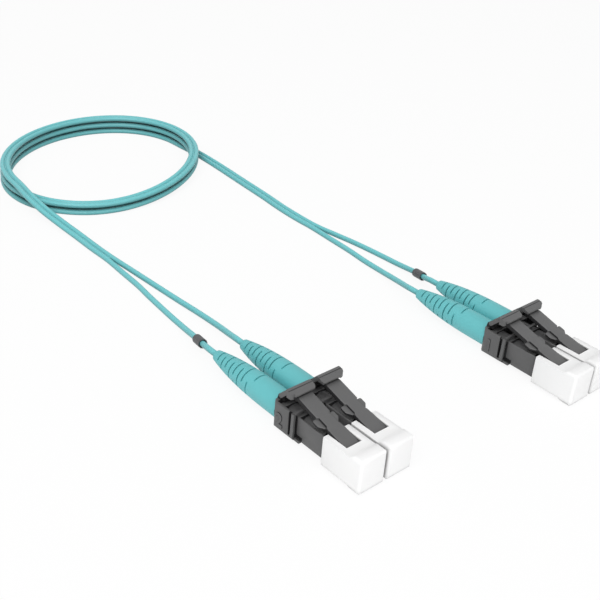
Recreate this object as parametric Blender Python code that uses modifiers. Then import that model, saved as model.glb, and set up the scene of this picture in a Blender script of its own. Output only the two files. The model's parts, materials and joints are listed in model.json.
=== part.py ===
"""Duplex fibre patch cord: two clipped pairs of latching plugs on a twin cord that lies in a coil.

Sizes and places are in millimetres, and each piece is scaled to metres when it is finished.
Each plug is drawn from its own datum: x forward from the clip's rear face, y and z from the plug's axis.
"""

import math

import bmesh
import bpy
import numpy as np
from mathutils import Matrix, Vector

METRES_PER_MM = 0.001
PART_NAME = "fibre_patch_cord"

# Fits
GAP = 0.3
BOOT_BORE_GAP = 0.15
WELD = 0.00005

# Layout of the two ends on the floor
END_SPACING = 47.8
END_STAGGER = 6.0
END_SETBACK = 1.2
PITCH = 6.25

# Twin cord
JACKET_RADIUS = 0.6
WEB_WIDTH = 0.12
WEB_THICKNESS = 0.9

# Coil
COIL_CENTRE = Vector((-113.3, 3.6, 0.0))
COIL_LONG_RADIUS = 27.0
COIL_SHORT_RADIUS = 22.7
COIL_LONG_AXIS = math.radians(119.2)
COIL_TURNS = 2.5
COIL_POINTS_PER_TURN = 24
COIL_LAYER_GAP = 0.48
COIL_LEAN = Vector((-0.17, 0.16, 0.0))
CLIMB_FROM = 0.65
CLIMB_TO = 0.9

# Plug housing
NOSE_SIDE = 4.5
NOSE_LENGTH = 11.1
NOSE_CHAMFER = 0.3
REAR_SIDE = 4.2
BORE_RADIUS = 1.6
SEAT_DEPTH = 6.0
NOSE_WALL = 0.35
BARREL_WALL = 0.3
TROUGH_DEPTH = 1.25
NOTCH_LENGTH = 1.4
NOTCH_HEIGHT = 0.95
LATCH_ROOT_DROP = 0.9

# Ferrule, its flange and its spring
FERRULE_RADIUS = 0.625
FERRULE_PROUD = 2.0
FERRULE_CHAMFER = 0.15
FLANGE_LENGTH = 1.5
SPRING_WIRE_RADIUS = 0.13
SPRING_TURNS = 4
SPRING_POINTS_PER_TURN = 8

# Back body and crimp sleeve
NECK_RADIUS = 1.2
NECK_LENGTH = 5.3
COLLAR_RADIUS = 1.55
COLLAR_LENGTH = 0.6
BACK_BODY_REACH = 2.9
FIBRE_HOLE_RADIUS = 0.6
CRIMP_WALL = 0.3
CRIMP_LENGTH = 3.7

# Boot
BOOT_LENGTH = 18.8
BOOT_TIP_RADIUS = 1.05
BOOT_TIP_ROUND = 0.15
BOOT_BASE_RADIUS = 2.55
BOOT_FLARE = 2.86
BOOT_CAVITY_LENGTH = 4.8
BOOT_SLOT_WIDTH = 0.3
BOOT_SLOT_CORE_SHARE = 0.28
BOOT_LAST_SLOT_CORE = 1.95
BOOT_SLOT_PITCH = 2.65
BOOT_TOP_SLOT_START = 1.75
BOOT_SIDE_SLOT_START = 3.15
BOOT_TOP_SLOTS = 5
BOOT_SIDE_SLOTS = 4

# Duplex clip
CLIP_LENGTH = 5.6
CLIP_REAR_WALL = 0.8
CLIP_SIDE_WALL = 0.525
CLIP_FLOOR = 0.35
CLIP_SEAT_GAP = 0.1
CLIP_BEAM_LENGTH = 1.5
CLIP_BEAM_WIDTH = 9.2
CLIP_SIDE_RISE = 0.2
CLIP_FRONT_RISE = 0.35
CLIP_CORNER_RADIUS = 1.2
CLIP_BOTTOM_RADIUS = 0.45
CLIP_SLOT_WIDTH = 0.55
CLIP_FLANGE_LENGTH = 0.7
CLIP_SLOT_FOOT = 0.7
CLIP_RIB_LENGTH = 0.5
CLIP_RIB_HEIGHT = 0.5
CLIP_ARM_LENGTH = 1.3
CLIP_ARM_HEIGHT = 0.5
CLIP_ARM_WIDTH = 0.4
CLIP_ARM_SOLE = 1.2
CLIP_EAR_WIDTH = 0.45

# Trigger
TRIGGER_FOOT_RADIUS = 0.45
TRIGGER_HINGE_X = 1.0
TRIGGER_HINGE_RISE = 1.25
TRIGGER_INNER_Y = 0.75
TRIGGER_RISER_WIDTH = 3.9
TRIGGER_BAR_WIDTH = 4.6
TRIGGER_WING_WIDTH = 0.6
TRIGGER_WING_DROP = 0.5
TRIGGER_WING_SETBACK = 0.4
TRIGGER_BAR_FRONT = 5.0
TRIGGER_BAR_LENGTH = 1.6
TRIGGER_BAR_BOTTOM = 5.6
TRIGGER_BAR_HEIGHT = 0.9
TRIGGER_LIP_HEIGHT = 0.35
TRIGGER_LIP_SLOPE = 1.1
TRIGGER_GROOVE = 0.15
TRIGGER_STRIP_LENGTH = 0.6
TRIGGER_END_RADIUS = 0.5

# Latch arm
LATCH_THICKNESS = 0.9
LATCH_TAIL_LENGTH = 1.3
LATCH_WIDTH = 3.1
LATCH_NECK_WIDTH = 2.9
LATCH_FRONT_WIDTH = 3.2
LATCH_EAR_WIDTH = 4.7
LATCH_EAR_LENGTH = 1.3
LATCH_EAR_SETBACK = 6.3
LATCH_EAR_DROP = 0.35
LATCH_EAR_THICKNESS = 0.45
LATCH_EAR_RADIUS = 0.35
LATCH_WAIST_WIDTH = 2.4
LATCH_TIP_RADIUS = 0.5
LATCH_ROOT_SETBACK = 0.5
LATCH_ROOT_RADIUS = 0.4
LATCH_CURL = 0.15

# Dust cap
CAP_SIDE_WALL = 0.475
CAP_SLEEVE_WALL = 0.25
CAP_BLOCK_HEIGHT = 6.8
CAP_BLOCK_LENGTH = 2.0
CAP_BLOCK_RAMP = 1.0
CAP_GRIP = 4.3
CAP_END_WALL = 2.5
CAP_POCKET_SIDE = 3.6
CAP_EDGE_RADIUS = 0.7

# Marker sleeve
MARKER_LENGTH = 3.2
MARKER_WALL = 0.2
MARKER_FROM_BOOT = 7.2

# Places along the plug that follow from the sizes above
HOUSING_REAR = CLIP_REAR_WALL + GAP
SHOULDER = CLIP_LENGTH + GAP
NOSE_FRONT = SHOULDER + NOSE_LENGTH
SEAT = NOSE_FRONT - SEAT_DEPTH
FLANGE_FRONT = SEAT - GAP
FLANGE_REAR = FLANGE_FRONT - FLANGE_LENGTH
FERRULE_TIP = NOSE_FRONT + FERRULE_PROUD
BACK_BODY_FRONT = HOUSING_REAR + BACK_BODY_REACH
NECK_REAR = HOUSING_REAR - NECK_LENGTH
BOOT_BASE = -GAP
BOOT_TIP = BOOT_BASE - BOOT_LENGTH
CRIMP_REAR = NECK_REAR - GAP
CRIMP_RADIUS = NECK_RADIUS + GAP + CRIMP_WALL
CAP_REAR = NOSE_FRONT - CAP_GRIP
CAP_FRONT = FERRULE_TIP + GAP + CAP_END_WALL

# Half sizes across the plug
NOSE_HALF = NOSE_SIDE / 2
REAR_HALF = REAR_SIDE / 2
CHANNEL_HALF = REAR_HALF + GAP
CLIP_HALF = PITCH / 2 + CHANNEL_HALF + CLIP_SIDE_WALL
CHANNEL_BOTTOM = -REAR_HALF - CLIP_SEAT_GAP
CLIP_BOTTOM = CHANNEL_BOTTOM - CLIP_FLOOR
CAVITY_HALF = NOSE_HALF + GAP
CAP_HALF_WIDTH = CAVITY_HALF + CAP_SIDE_WALL
CAP_SLEEVE_HALF = CAVITY_HALF + CAP_SLEEVE_WALL
AXIS_HEIGHT = CAP_BLOCK_HEIGHT / 2
NOSE_INNER = NOSE_HALF - NOSE_WALL

# Joint axes, from the plug's datum
TRIGGER_HINGE = Vector((TRIGGER_HINGE_X, 0, CHANNEL_HALF + TRIGGER_HINGE_RISE))
CRADLE_RADIUS = TRIGGER_FOOT_RADIUS + GAP
RISER_INNER_Y = TRIGGER_INNER_Y + CLIP_EAR_WIDTH
RISER_OUTER_Y = RISER_INNER_Y + TRIGGER_RISER_WIDTH
LOBE_OFFSET = JACKET_RADIUS + WEB_WIDTH / 2
TWIN_WIDTH = 2 * (LOBE_OFFSET + JACKET_RADIUS)
LAYER_PITCH = 2 * JACKET_RADIUS + COIL_LAYER_GAP
LATCH_HINGE = Vector((
    NOSE_FRONT - LATCH_ROOT_SETBACK,
    0,
    NOSE_HALF - LATCH_ROOT_DROP + GAP + LATCH_ROOT_RADIUS,
))

# Hand-chosen route of the twin cord and its legs across the floor, from end a to end b
TAIL_A_ROUTE = (
    (-104.0, -22.7, 3.9),
    (-100.0, -23.2, 3.5),
    (-96.0, -23.1, 2.7),
    (-92.0, -22.2, 1.7),
    (-88.0, -21.3, 0.95),
    (-84.0, -20.8, 0.62),
    (-78.5, -20.8, 0.6),
    (-73.0, -21.1, 0.6),
    (-68.5, -20.8, 0.6),
    (-64.4, -20.4, 0.6),
)
TAIL_B_ROUTE = (
    (-107.0, 29.9, 0.6),
    (-99.0, 29.6, 0.6),
    (-91.0, 29.0, 0.6),
    (-83.0, 28.4, 0.6),
    (-75.0, 27.8, 0.6),
    (-68.0, 27.1, 0.6),
    (-62.0, 26.9, 0.6),
    (-56.0, 26.95, 0.6),
    (-51.0, 26.9, 0.6),
)
LEG_ROUTES = {
    "a1": ((-60.5, -21.4, 0.6), (-57.0, -22.2, 0.6), (-51.5, -23.0, 0.6), (-43.5, -23.7, 0.65),
           (-37.5, -24.4, 1.0), (-32.0, -25.4, 1.9), (-28.3, -26.4, 2.8)),
    "a2": ((-60.5, -19.5, 0.6), (-54.0, -19.3, 0.6), (-47.2, -18.9, 0.62), (-40.4, -18.75, 0.95),
           (-33.5, -19.2, 1.7), (-28.3, -20.2, 2.75)),
    "b1": ((-47.5, 25.75, 0.6), (-43.0, 25.6, 0.6), (-37.5, 25.0, 0.65), (-31.7, 24.3, 1.0),
           (-26.0, 23.1, 1.8), (-21.8, 21.6, 2.8)),
    "b2": ((-48.0, 28.6, 0.6), (-44.4, 29.4, 0.6), (-38.0, 29.9, 0.65), (-31.6, 29.8, 1.0),
           (-26.0, 29.0, 1.9), (-21.8, 27.7, 2.8)),
}
TAIL_SPACING = 3.5
LEG_SPACING = 2.8

# Part colours: red, green, blue, roughness, metallic
COLOURS = {
    "cord": (0.16, 0.55, 0.58, 0.45, 0.0),
    "dark_plastic": (0.13, 0.13, 0.13, 0.5, 0.0),
    "boot_rubber": (0.16, 0.55, 0.58, 0.5, 0.0),
    "cap_plastic": (0.86, 0.86, 0.86, 0.4, 0.0),
    "marker": (0.09, 0.09, 0.1, 0.5, 0.0),
    "ceramic": (0.9, 0.88, 0.84, 0.2, 0.0),
    "steel": (0.6, 0.6, 0.62, 0.3, 1.0),
}

for old in list(bpy.data.objects):
    bpy.data.objects.remove(old, do_unlink=True)

parts = bpy.data.collections.new(PART_NAME)
cutters = bpy.data.collections.new(PART_NAME + "_cutters")
bpy.context.scene.collection.children.link(parts)
bpy.context.scene.collection.children.link(cutters)

# An outline's own u, v and w turned to the plug's axes, for drawing out along X, Y or Z
TURNS = {
    "X": Matrix(((0, 0, 1, 0), (1, 0, 0, 0), (0, 1, 0, 0), (0, 0, 0, 1))),
    "Y": Matrix(((1, 0, 0, 0), (0, 0, -1, 0), (0, 1, 0, 0), (0, 0, 0, 1))),
    "Z": Matrix.Identity(4),
}
UNIT = {"X": Vector((1, 0, 0)), "Y": Vector((0, 1, 0)), "Z": Vector((0, 0, 1))}


def working_object(data):
    """A cutter or a blank that is only used to make other shapes."""
    obj = bpy.data.objects.new("blank", data)
    obj.hide_render = True
    obj.display_type = "WIRE"
    cutters.objects.link(obj)
    return obj


def evaluated(obj):
    """The evaluated mesh of a working object, closed and facing out; the object is removed."""
    depsgraph = bpy.context.evaluated_depsgraph_get()
    mesh = bpy.data.meshes.new_from_object(obj.evaluated_get(depsgraph), depsgraph=depsgraph)
    bpy.data.objects.remove(obj, do_unlink=True)
    shape = bmesh.new()
    shape.from_mesh(mesh)
    bmesh.ops.remove_doubles(shape, verts=shape.verts, dist=WELD)
    bmesh.ops.recalc_face_normals(shape, faces=shape.faces)
    shape.to_mesh(mesh)
    shape.free()
    return mesh


def combined(first, second, operation):
    base = working_object(first)
    tool = working_object(second)
    modifier = base.modifiers.new("combine", "BOOLEAN")
    modifier.operation = operation
    modifier.use_self = True
    modifier.object = tool
    mesh = evaluated(base)
    bpy.data.objects.remove(tool, do_unlink=True)
    return mesh


def joined(first, *others):
    for other in others:
        first = combined(first, other, "UNION")
    return first


def cut(first, *others):
    for other in others:
        first = combined(first, other, "DIFFERENCE")
    return first


def common(first, *others):
    for other in others:
        first = combined(first, other, "INTERSECT")
    return first


def filleted(corners, steps=3):
    """An outline whose corners (u, v, radius) are rounded by short chords."""
    outline = []
    for index, (u, v, radius) in enumerate(corners):
        corner = Vector((u, v))
        if not radius:
            outline.append((u, v))
            continue
        before = (Vector(corners[index - 1][:2]) - corner).normalized()
        after = (Vector(corners[(index + 1) % len(corners)][:2]) - corner).normalized()
        half_angle = before.angle(after) / 2
        middle = corner + (before + after).normalized() * radius / math.sin(half_angle)
        start = corner + before * radius / math.tan(half_angle) - middle
        end = corner + after * radius / math.tan(half_angle) - middle
        for step in range(steps + 1):
            ray = start.lerp(end, step / steps).normalized() * radius
            outline.append(tuple(middle + ray))
    return outline


def prism(outline, axis, low, high):
    """A flat outline drawn out along one axis: (y, z) along X, (x, z) along Y, (x, y) along Z."""
    curve = bpy.data.curves.new("outline", "CURVE")
    curve.dimensions = "2D"
    curve.fill_mode = "BOTH"
    curve.extrude = (high - low) / 2
    spline = curve.splines.new("POLY")
    spline.points.add(len(outline) - 1)
    for point, (u, v) in zip(spline.points, outline):
        point.co = (u, v, 0, 1)
    spline.use_cyclic_u = True
    mesh = evaluated(working_object(curve))
    mesh.transform(Matrix.Translation(UNIT[axis] * (low + high) / 2) @ TURNS[axis])
    return mesh


def box(low, high):
    shape = bmesh.new()
    low, high = Vector(low), Vector(high)
    middle = Matrix.Translation((low + high) / 2)
    bmesh.ops.create_cube(shape, size=1, matrix=middle @ Matrix.Diagonal((*(high - low), 1)))
    mesh = bpy.data.meshes.new("box")
    shape.to_mesh(mesh)
    shape.free()
    return mesh


def turned(profile, sides):
    """A profile of (x, radius) points, from front to rear, turned about the plug's axis."""
    mesh = bpy.data.meshes.new("profile")
    edges = [(index, index + 1) for index in range(len(profile) - 1)]
    if profile[0][1] > 0:
        edges.append((len(profile) - 1, 0))
    mesh.from_pydata([(radius, 0, x) for x, radius in profile], edges, [])
    obj = working_object(mesh)
    screw = obj.modifiers.new("turn", "SCREW")
    screw.steps = sides
    screw.render_steps = sides
    screw.use_merge_vertices = True
    screw.merge_threshold = WELD
    result = evaluated(obj)
    result.transform(Matrix.Rotation(math.radians(90), 4, "Y"))
    return result


def ring(front, rear, outer, inner, sides):
    return turned([(front, outer), (rear, outer), (rear, inner), (front, inner)], sides)


def rod(front, rear, radius, sides):
    return turned([(front, 0), (front, radius), (rear, radius), (rear, 0)], sides)


def swept(points, profile=None, radius=JACKET_RADIUS, resolution=2):
    """A tube in metres along the points: round, or with the section of a profile curve."""
    curve = bpy.data.curves.new("cord", "CURVE")
    curve.dimensions = "3D"
    curve.twist_mode = "Z_UP"
    curve.use_fill_caps = True
    if profile:
        curve.bevel_mode = "OBJECT"
        curve.bevel_object = profile
    else:
        curve.bevel_depth = radius * METRES_PER_MM
        curve.bevel_resolution = resolution
    spline = curve.splines.new("POLY")
    spline.points.add(len(points) - 1)
    for target, point in zip(spline.points, points):
        target.co = (*(point * METRES_PER_MM), 1)
    return curve


def smooth_route(points, spacing):
    """Evenly spaced points on a smooth curve through the given ones."""
    points = [Vector(point) for point in points]
    ends = [2 * points[0] - points[1], 2 * points[-1] - points[-2]]
    guide = [ends[0], *points, ends[1]]
    fine = []
    steps = 24
    for index in range(1, len(guide) - 2):
        p0, p1, p2, p3 = guide[index - 1:index + 3]
        for step in range(steps):
            t = step / steps
            bend = (2 * p0 - 5 * p1 + 4 * p2 - p3) * t * t + (3 * p1 - p0 - 3 * p2 + p3) * t * t * t
            fine.append(p1 + ((p2 - p0) * t + bend) / 2)
    fine.append(points[-1])
    fine = np.array(fine)
    travelled = np.concatenate([[0], np.cumsum(np.linalg.norm(np.diff(fine, axis=0), axis=1))])
    count = max(2, round(travelled[-1] / spacing))
    wanted = np.linspace(0, travelled[-1], count + 1)
    return [Vector([np.interp(d, travelled, fine[:, axis]) for axis in range(3)]) for d in wanted]


def material(name):
    found = bpy.data.materials.get(name)
    if found:
        return found
    made = bpy.data.materials.new(name)
    made.use_nodes = True
    shader = made.node_tree.nodes["Principled BSDF"]
    red, green, blue, roughness, metallic = COLOURS[name]
    shader.inputs["Base Color"].default_value = (red, green, blue, 1)
    shader.inputs["Roughness"].default_value = roughness
    shader.inputs["Metallic"].default_value = metallic
    made.diffuse_color = (red, green, blue, 1)
    return made


def add_part(name, data, finish, parent=None, location=(0, 0, 0)):
    """One named piece of the object, with its finish, placed under its parent."""
    obj = bpy.data.objects.new(name, data)
    if not data.materials:
        data.materials.append(material(finish))
    parts.objects.link(obj)
    obj.parent = parent
    obj.location = Vector(location) * METRES_PER_MM
    return obj


def finished(mesh):
    """A shape scaled to metres, with its round faces shaded smooth."""
    mesh.transform(Matrix.Scale(METRES_PER_MM, 4))
    mesh.shade_smooth()
    mesh.set_sharp_from_angle(angle=math.radians(35))
    return mesh


def trough_outline(wall):
    """Section of the open top: down beside each wall and over the barrel that holds the spring."""
    barrel = BORE_RADIUS + BARREL_WALL
    floor = NOSE_HALF - TROUGH_DEPTH
    start = math.asin(floor / barrel)
    steps = 8
    outline = [(wall, floor), (wall, NOSE_SIDE), (-wall, NOSE_SIDE), (-wall, floor)]
    for step in range(steps + 1):
        angle = math.pi - start - (math.pi - 2 * start) * step / steps
        outline.append((barrel * math.cos(angle), barrel * math.sin(angle)))
    return outline


def plug_housing():
    """A square shell with an open top, a stepped bore, and a pocket for the latch's root."""
    side = prism(filleted([
        (HOUSING_REAR, -REAR_HALF, 0),
        (SHOULDER, -REAR_HALF, 0),
        (SHOULDER, -NOSE_HALF, 0),
        (NOSE_FRONT, -NOSE_HALF, NOSE_CHAMFER),
        (NOSE_FRONT, NOSE_HALF, NOSE_CHAMFER),
        (SHOULDER, NOSE_HALF, 0),
        (SHOULDER, REAR_HALF, 0),
        (HOUSING_REAR, REAR_HALF, 0),
    ], 1), "Y", -NOSE_SIDE, NOSE_SIDE)
    plan = prism(filleted([
        (HOUSING_REAR, -REAR_HALF, 0),
        (SHOULDER, -REAR_HALF, 0),
        (SHOULDER, -NOSE_HALF, 0),
        (NOSE_FRONT, -NOSE_HALF, NOSE_CHAMFER),
        (NOSE_FRONT, NOSE_HALF, NOSE_CHAMFER),
        (SHOULDER, NOSE_HALF, 0),
        (SHOULDER, REAR_HALF, 0),
        (HOUSING_REAR, REAR_HALF, 0),
    ], 1), "Z", -NOSE_SIDE, NOSE_SIDE)
    collar_pocket = COLLAR_RADIUS + GAP
    collar_end = HOUSING_REAR + COLLAR_LENGTH + GAP
    ferrule_hole = FERRULE_RADIUS + GAP
    bore = turned([
        (NOSE_FRONT + GAP, 0),
        (NOSE_FRONT + GAP, ferrule_hole),
        (SEAT, ferrule_hole),
        (SEAT, BORE_RADIUS),
        (collar_end, BORE_RADIUS),
        (collar_end, collar_pocket),
        (HOUSING_REAR - GAP, collar_pocket),
        (HOUSING_REAR - GAP, 0),
    ], 14)
    pocket_rear = SEAT + NOSE_WALL
    rear_trough = prism(trough_outline(NOSE_SIDE), "X", collar_end + NOSE_WALL, SHOULDER - NOSE_WALL)
    nose_trough = prism(trough_outline(NOSE_INNER), "X", SHOULDER + NOSE_WALL, pocket_rear)
    pocket = box(
        (pocket_rear, -NOSE_INNER, NOSE_HALF - LATCH_ROOT_DROP),
        (NOSE_FRONT + GAP, NOSE_INNER, NOSE_SIDE),
    )
    body = cut(common(side, plan), bore, rear_trough, nose_trough, pocket)
    for hand in (-1, 1):
        near, far = sorted((hand * NOSE_INNER, hand * NOSE_SIDE))
        notch = box(
            (SHOULDER - GAP, near, -NOSE_SIDE),
            (SHOULDER + NOTCH_LENGTH, far, NOTCH_HEIGHT - NOSE_HALF),
        )
        body = cut(body, notch)
    return finished(body)


def latch_top(x):
    """Height of the latch arm's upper face, which curls up to pass under the trigger's bar."""
    share = (LATCH_HINGE.x - x) / (LATCH_HINGE.x - TRIGGER_BAR_FRONT)
    root_top = LATCH_HINGE.z + LATCH_ROOT_RADIUS
    rise = TRIGGER_BAR_BOTTOM - GAP - root_top
    return root_top + rise * ((1 - LATCH_CURL) * share + LATCH_CURL * share * share)


def mirrored(half):
    """A plan outline from the corners (x, y, radius) of its half on the +Y side."""
    return half + [(x, -y, radius) for x, y, radius in reversed(half)]


def latch_arm():
    """A curled cantilever: its side outline cut to a waisted plan, with a lower ear on each side."""
    steps = 6
    reach = LATCH_HINGE.x - TRIGGER_BAR_FRONT
    stations = [TRIGGER_BAR_FRONT + reach * step / steps for step in range(steps + 1)]
    tail_end = TRIGGER_BAR_FRONT - LATCH_TAIL_LENGTH
    upper = [(tail_end, latch_top(TRIGGER_BAR_FRONT))] + [(x, latch_top(x)) for x in stations]
    lower = [(x, z - LATCH_THICKNESS) for x, z in reversed(upper[:-1])]
    root = []
    for step in range(1, 6):
        angle = math.radians(90 - 36 * step)
        root.append((
            LATCH_HINGE.x + LATCH_ROOT_RADIUS * math.cos(angle),
            LATCH_HINGE.z + LATCH_ROOT_RADIUS * math.sin(angle),
        ))
    side = prism(upper + root + lower, "Y", -LATCH_EAR_WIDTH, LATCH_EAR_WIDTH)
    ear_front = NOSE_FRONT - LATCH_EAR_SETBACK
    ear_rear = ear_front - LATCH_EAR_LENGTH
    neck_rear = ear_front + LATCH_EAR_LENGTH
    neck_front = neck_rear + LATCH_EAR_LENGTH
    front = LATCH_HINGE.x + LATCH_ROOT_RADIUS
    plan = mirrored([
        (front, LATCH_FRONT_WIDTH / 2, LATCH_TIP_RADIUS),
        (neck_front, LATCH_FRONT_WIDTH / 2, 0),
        (neck_rear, LATCH_NECK_WIDTH / 2, 0),
        (neck_rear - GAP, LATCH_WAIST_WIDTH / 2, 0),
        (ear_rear + GAP, LATCH_WAIST_WIDTH / 2, 0),
        (ear_rear, LATCH_WIDTH / 2, 0),
        (tail_end, LATCH_WIDTH / 2, 0),
    ])
    ear_plan = mirrored([
        (neck_rear + GAP, LATCH_WAIST_WIDTH / 2, 0),
        (neck_rear - GAP, LATCH_NECK_WIDTH / 2, 0),
        (ear_front, LATCH_EAR_WIDTH / 2, LATCH_EAR_RADIUS),
        (ear_rear, LATCH_EAR_WIDTH / 2, LATCH_EAR_RADIUS),
        (ear_rear, LATCH_WAIST_WIDTH / 2, 0),
    ])
    ear_top = [(x, latch_top(x) - LATCH_EAR_DROP) for x in (ear_rear - GAP, neck_rear + 2 * GAP)]
    ear_bottom = [(x, z - LATCH_EAR_THICKNESS) for x, z in reversed(ear_top)]
    ears = prism(ear_top + ear_bottom, "Y", -LATCH_EAR_WIDTH, LATCH_EAR_WIDTH)
    height = 2 * TRIGGER_BAR_BOTTOM
    arm = common(side, prism(filleted(plan), "Z", -height, height))
    ears = common(ears, prism(filleted(ear_plan), "Z", -height, height))
    mesh = joined(arm, ears)
    mesh.transform(Matrix.Translation(-LATCH_HINGE))
    return finished(mesh)


def trigger(side):
    """A plate that leans forward from a round foot to a grooved press bar with a wing at its outer end."""
    bar_rear = TRIGGER_BAR_FRONT - TRIGGER_BAR_LENGTH
    ridge_x = TRIGGER_BAR_FRONT - TRIGGER_LIP_SLOPE
    ridge_top = TRIGGER_BAR_BOTTOM + TRIGGER_BAR_HEIGHT
    strip_front = (ridge_x - TRIGGER_GROOVE, ridge_top)
    strip_rear = (ridge_x - TRIGGER_GROOVE - TRIGGER_STRIP_LENGTH, ridge_top)
    lip_top = TRIGGER_BAR_BOTTOM + TRIGGER_LIP_HEIGHT
    foot = []
    for step in range(7):
        angle = math.radians(120 + 30 * step)
        foot.append((
            TRIGGER_HINGE.x + TRIGGER_FOOT_RADIUS * math.cos(angle),
            TRIGGER_HINGE.z + TRIGGER_FOOT_RADIUS * math.sin(angle),
        ))
    plate = prism(
        foot + [(bar_rear, TRIGGER_BAR_BOTTOM), strip_front, strip_rear],
        "Y", RISER_INNER_Y, RISER_OUTER_Y,
    )
    outer = TRIGGER_INNER_Y + TRIGGER_BAR_WIDTH
    wing_outer = outer + TRIGGER_WING_WIDTH
    wing_front = TRIGGER_BAR_FRONT - TRIGGER_WING_SETBACK
    bar_side = prism([
        (bar_rear, TRIGGER_BAR_BOTTOM),
        (TRIGGER_BAR_FRONT, TRIGGER_BAR_BOTTOM),
        (TRIGGER_BAR_FRONT, lip_top),
        (ridge_x, ridge_top),
        (ridge_x, ridge_top - TRIGGER_GROOVE),
        (ridge_x - TRIGGER_GROOVE, ridge_top - TRIGGER_GROOVE),
        strip_front,
        strip_rear,
        (bar_rear, lip_top),
    ], "Y", 0, 2 * wing_outer)
    bar_plan = prism(filleted([
        (0, TRIGGER_INNER_Y, 0),
        (TRIGGER_BAR_FRONT, TRIGGER_INNER_Y, TRIGGER_END_RADIUS),
        (TRIGGER_BAR_FRONT, outer, TRIGGER_END_RADIUS),
        (wing_front, outer, 0),
        (wing_front, wing_outer, TRIGGER_END_RADIUS),
        (0, wing_outer, 0),
    ], 2), "Z", 0, 2 * TRIGGER_BAR_BOTTOM)
    wing_side = box(
        (bar_rear, outer - GAP, TRIGGER_BAR_BOTTOM - TRIGGER_WING_DROP),
        (wing_front, 2 * wing_outer, lip_top),
    )
    mesh = joined(common(bar_side, bar_plan), common(wing_side, bar_plan), plate)
    mesh.transform(Matrix.Translation(-TRIGGER_HINGE))
    if side < 0:
        mesh.transform(Matrix.Scale(-1, 4, UNIT["Y"]))
        mesh.flip_normals()
    return finished(mesh)


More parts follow.
